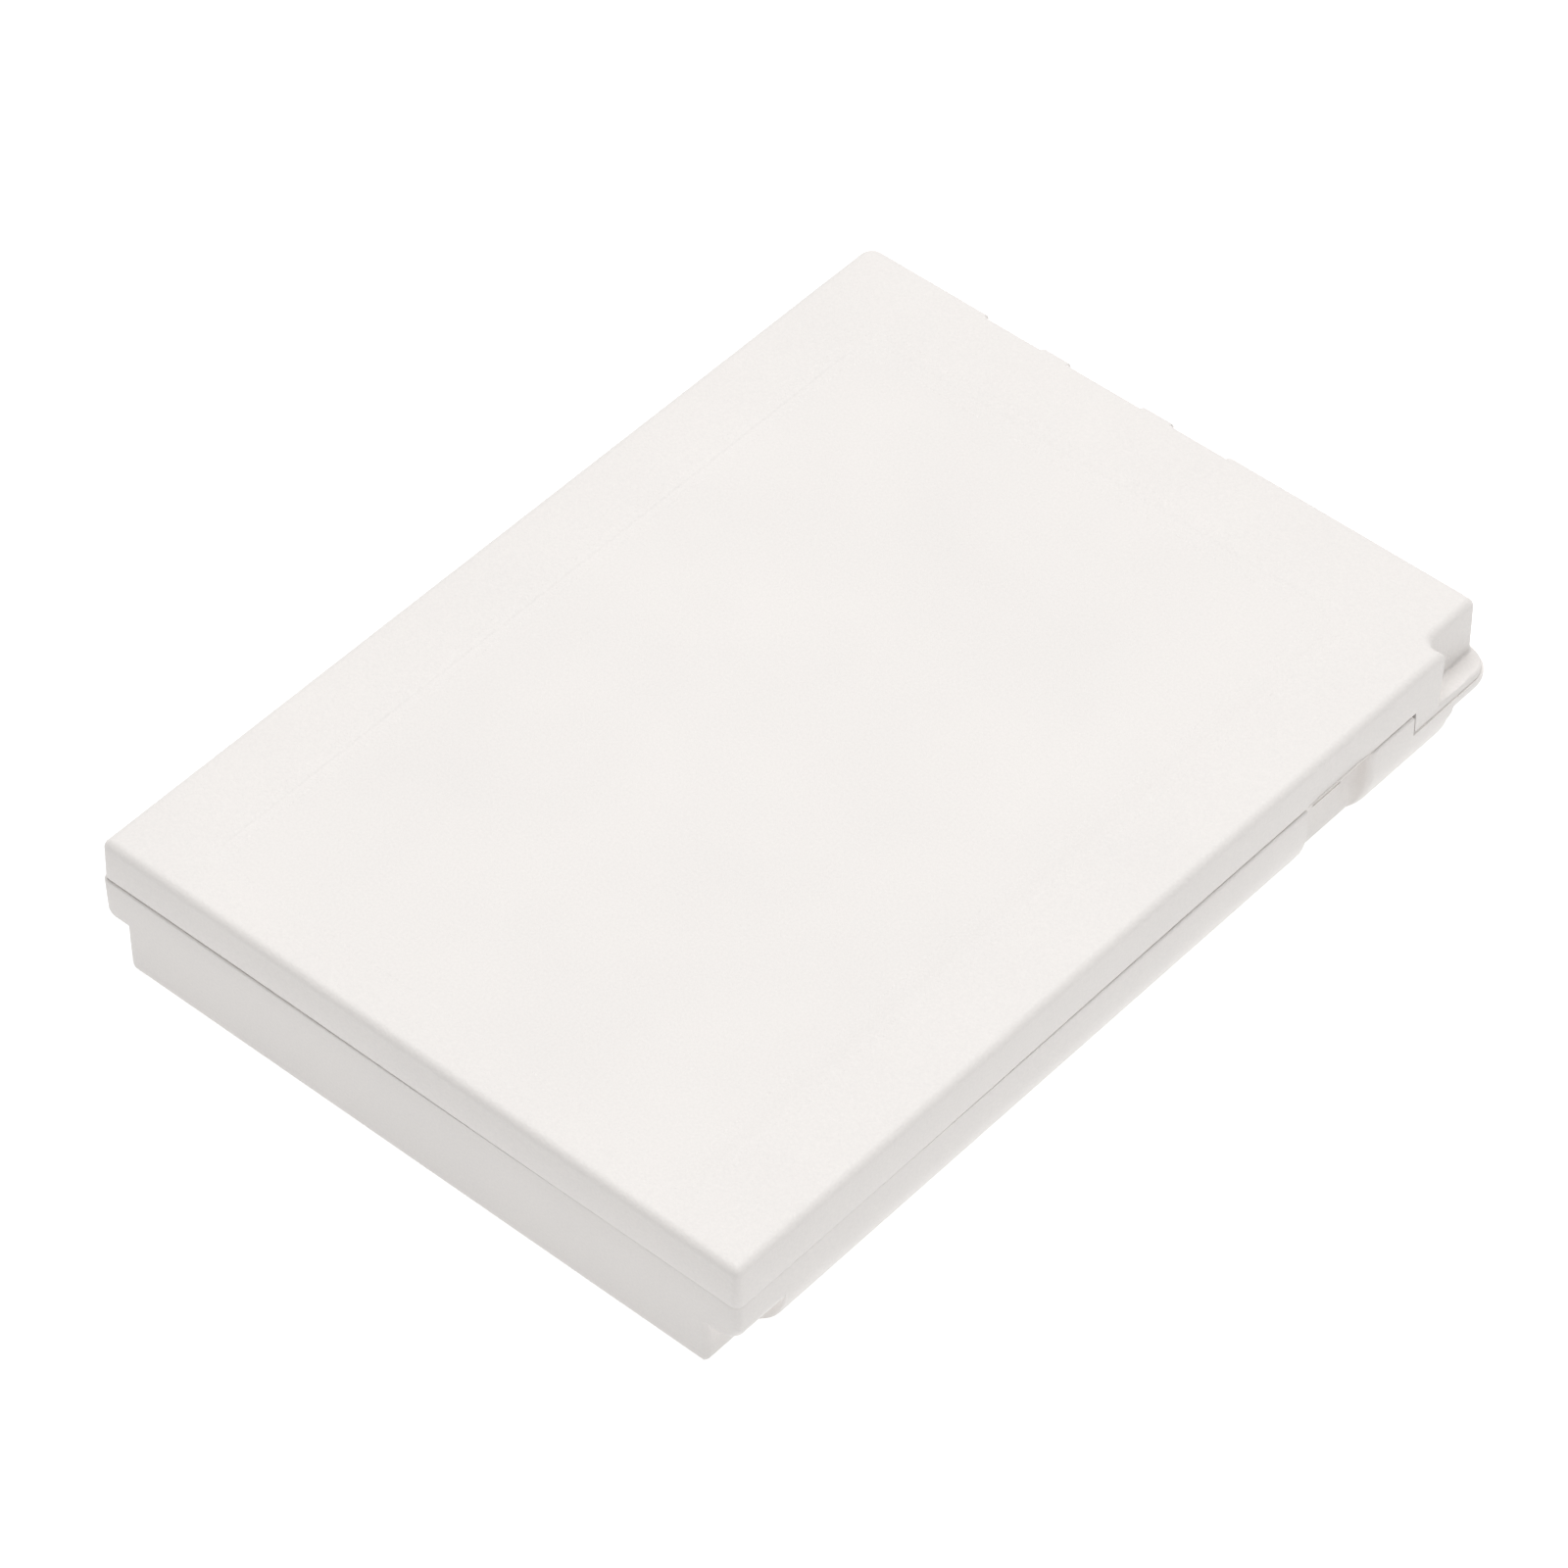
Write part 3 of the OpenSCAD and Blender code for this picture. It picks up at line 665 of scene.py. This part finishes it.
def stamped_block(low, high, edge, corner):
    """Block along Y from its lowest to its highest corner: a rounded rectangle in X and Z,
    whose +Y face falls off in a quarter round of radius edge."""
    (x0, y0, z0), (x1, y1, z1) = low, high
    middle = np.array(((x0 + x1) / 2, (z0 + z1) / 2))
    levels = [(0.0, y0)]
    levels += [(edge * (1 - math.cos(a)), y1 - edge * (1 - math.sin(a)))
               for a in np.radians(np.linspace(0, 90, 6))]
    loops = []
    for inset, y in levels:
        hw, hh = (x1 - x0) / 2 - inset, (z1 - z0) / 2 - inset
        loop = rounded_loop([(hw, -hh), (hw, hh), (-hw, hh), (-hw, -hh)],
                            [max(corner - inset, contact_least_r)] * 4, run_points=[2] * 4)
        loops.append((loop + middle, y))
    points, faces = stack(loops)
    return points[:, [0, 2, 1]], faces


for node in ("contact_positive", "contact_sense", "contact_negative"):
    low, high = (np.array(corner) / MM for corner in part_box(node))
    block = make_piece(node.replace("contact", "gold_contact"),
                       *stamped_block(low, high, contact_edge_r, contact_corner_r), gold_plate,
                       crease=60)
    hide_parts(node)
    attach(block, "root")


def finish(material, *names):
    """Give CAD nodes a material in all their slots."""
    for name in names:
        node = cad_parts[name]
        if not node.material_slots:
            node.data.materials.append(material)
        for place in node.material_slots:
            place.material = material


bright_solder = mottled("bright_solder", tone=(0.80, 0.80, 0.78), second=(0.62, 0.62, 0.61),
                        grain=6.0, cloud=0.8, contrast=0.6, rough=(0.22, 0.42), relief=0.02,
                        metallic=1.0)
finish(bright_solder, "solder_joints")

# ---------------------------------------------------------------- label underneath
# A blank rating label of white polyester film lies in the shallow recess underneath.
finish(mottled("polyester_label", tone=(0.80, 0.80, 0.79), second=(0.75, 0.75, 0.745),
               grain=4.0, cloud=0.1, contrast=0.4, rough=(0.3, 0.42), relief=0.004), "bottom_label")

# ---------------------------------------------------------------- pouch cell
# The cell is a lithium pouch in aluminium laminate. Its side seals are folded up against
# it and held by amber tape, and the terrace at the tab end is a flat seal.
pouch_foil = mottled("pouch_foil", tone=(0.82, 0.82, 0.83), second=(0.70, 0.70, 0.72),
                     grain=1.2, cloud=0.15, contrast=0.4, rough=(0.24, 0.4), relief=0.05,
                     metallic=1.0)
pressed_foil = mottled("pressed_foil", tone=(0.78, 0.78, 0.79), second=(0.62, 0.62, 0.64),
                       grain=3.0, cloud=0.3, contrast=0.6, rough=(0.3, 0.5), relief=0.08,
                       metallic=1.0)
amber_film = mottled("amber_film", tone=(0.62, 0.30, 0.05), second=(0.50, 0.22, 0.03),
                     grain=2.0, cloud=0.2, contrast=0.4, rough=(0.16, 0.28), relief=0.006)
finish(pouch_foil, "pouch_cell")
finish(pressed_foil, "side_seals", "terrace_seal")
finish(amber_film, "terrace_tape", "fold_tapes")
finish(mottled("soft_aluminium", tone=(0.84, 0.84, 0.85), second=(0.74, 0.74, 0.75),
               grain=4.0, cloud=0.3, contrast=0.5, rough=(0.24, 0.38), relief=0.006,
               metallic=1.0, stretch=(1, 0.1, 1)), "positive_tab")
rolled_nickel = mottled("rolled_nickel", tone=(0.68, 0.66, 0.61), second=(0.56, 0.54, 0.49),
                        grain=5.0, cloud=0.4, contrast=0.5, rough=(0.22, 0.36), relief=0.006,
                        metallic=1.0, stretch=(1, 0.08, 1))
finish(rolled_nickel, "negative_tab", "ptc_leads", "positive_strip", "negative_strip")
finish(mottled("sealant_film", tone=(0.83, 0.84, 0.80), second=(0.74, 0.76, 0.72),
               grain=3.0, cloud=0.4, contrast=0.4, rough=(0.3, 0.4), relief=0.006), "tab_sealant")

# ---------------------------------------------------------------- packing round the cell
# Double-sided tape holds the cell to the tray. Two strips of black foam and a foam block
# keep it from moving, and green fish paper insulates it from the board.
finish(mottled("adhesive_tape", tone=(0.78, 0.74, 0.62), second=(0.70, 0.66, 0.54),
               grain=3.0, cloud=0.3, contrast=0.5, rough=(0.4, 0.55), relief=0.01), "cell_tape")
finish(mottled("closed_cell_foam", tone=(0.045, 0.045, 0.048), second=(0.02, 0.02, 0.022),
               grain=3.5, cloud=0.5, contrast=0.7, rough=(0.85, 1.0), relief=0.12),
       "cover_foam", "end_cushion")
finish(mottled("fish_paper", tone=(0.34, 0.47, 0.36), second=(0.26, 0.39, 0.29),
               grain=4.0, cloud=0.6, contrast=0.6, rough=(0.7, 0.9), relief=0.02,
               stretch=(0.4, 1, 1)), "insulating_paper")

# ---------------------------------------------------------------- protection circuit
# A small board stands on edge behind the contacts, with a protection chip, a pair of
# switching transistors, chip resistors, capacitors, a thermistor, and a resettable fuse.
finish(mottled("solder_mask", tone=(0.025, 0.17, 0.07), second=(0.015, 0.12, 0.05),
               grain=3.0, cloud=0.5, contrast=0.4, rough=(0.22, 0.34), relief=0.01), "protection_board")
black_epoxy = mottled("black_epoxy", tone=(0.035, 0.035, 0.037), second=(0.02, 0.02, 0.021),
                      grain=8.0, cloud=1.0, contrast=0.6, rough=(0.45, 0.62), relief=0.01)
finish(black_epoxy, "protection_ic", "dual_mosfet", "chip_resistors")
finish(bright_solder, "component_leads")
finish(mottled("capacitor_ceramic", tone=(0.42, 0.30, 0.17), second=(0.33, 0.23, 0.12),
               grain=7.0, cloud=1.0, contrast=0.6, rough=(0.35, 0.5), relief=0.01), "chip_capacitors")
finish(mottled("thermistor_ceramic", tone=(0.07, 0.10, 0.10), second=(0.04, 0.06, 0.06),
               grain=7.0, cloud=1.0, contrast=0.6, rough=(0.35, 0.5), relief=0.01), "thermistor")
finish(mottled("fuse_coating", tone=(0.62, 0.40, 0.18), second=(0.52, 0.32, 0.13),
               grain=4.0, cloud=0.6, contrast=0.6, rough=(0.35, 0.5), relief=0.02), "ptc_device")
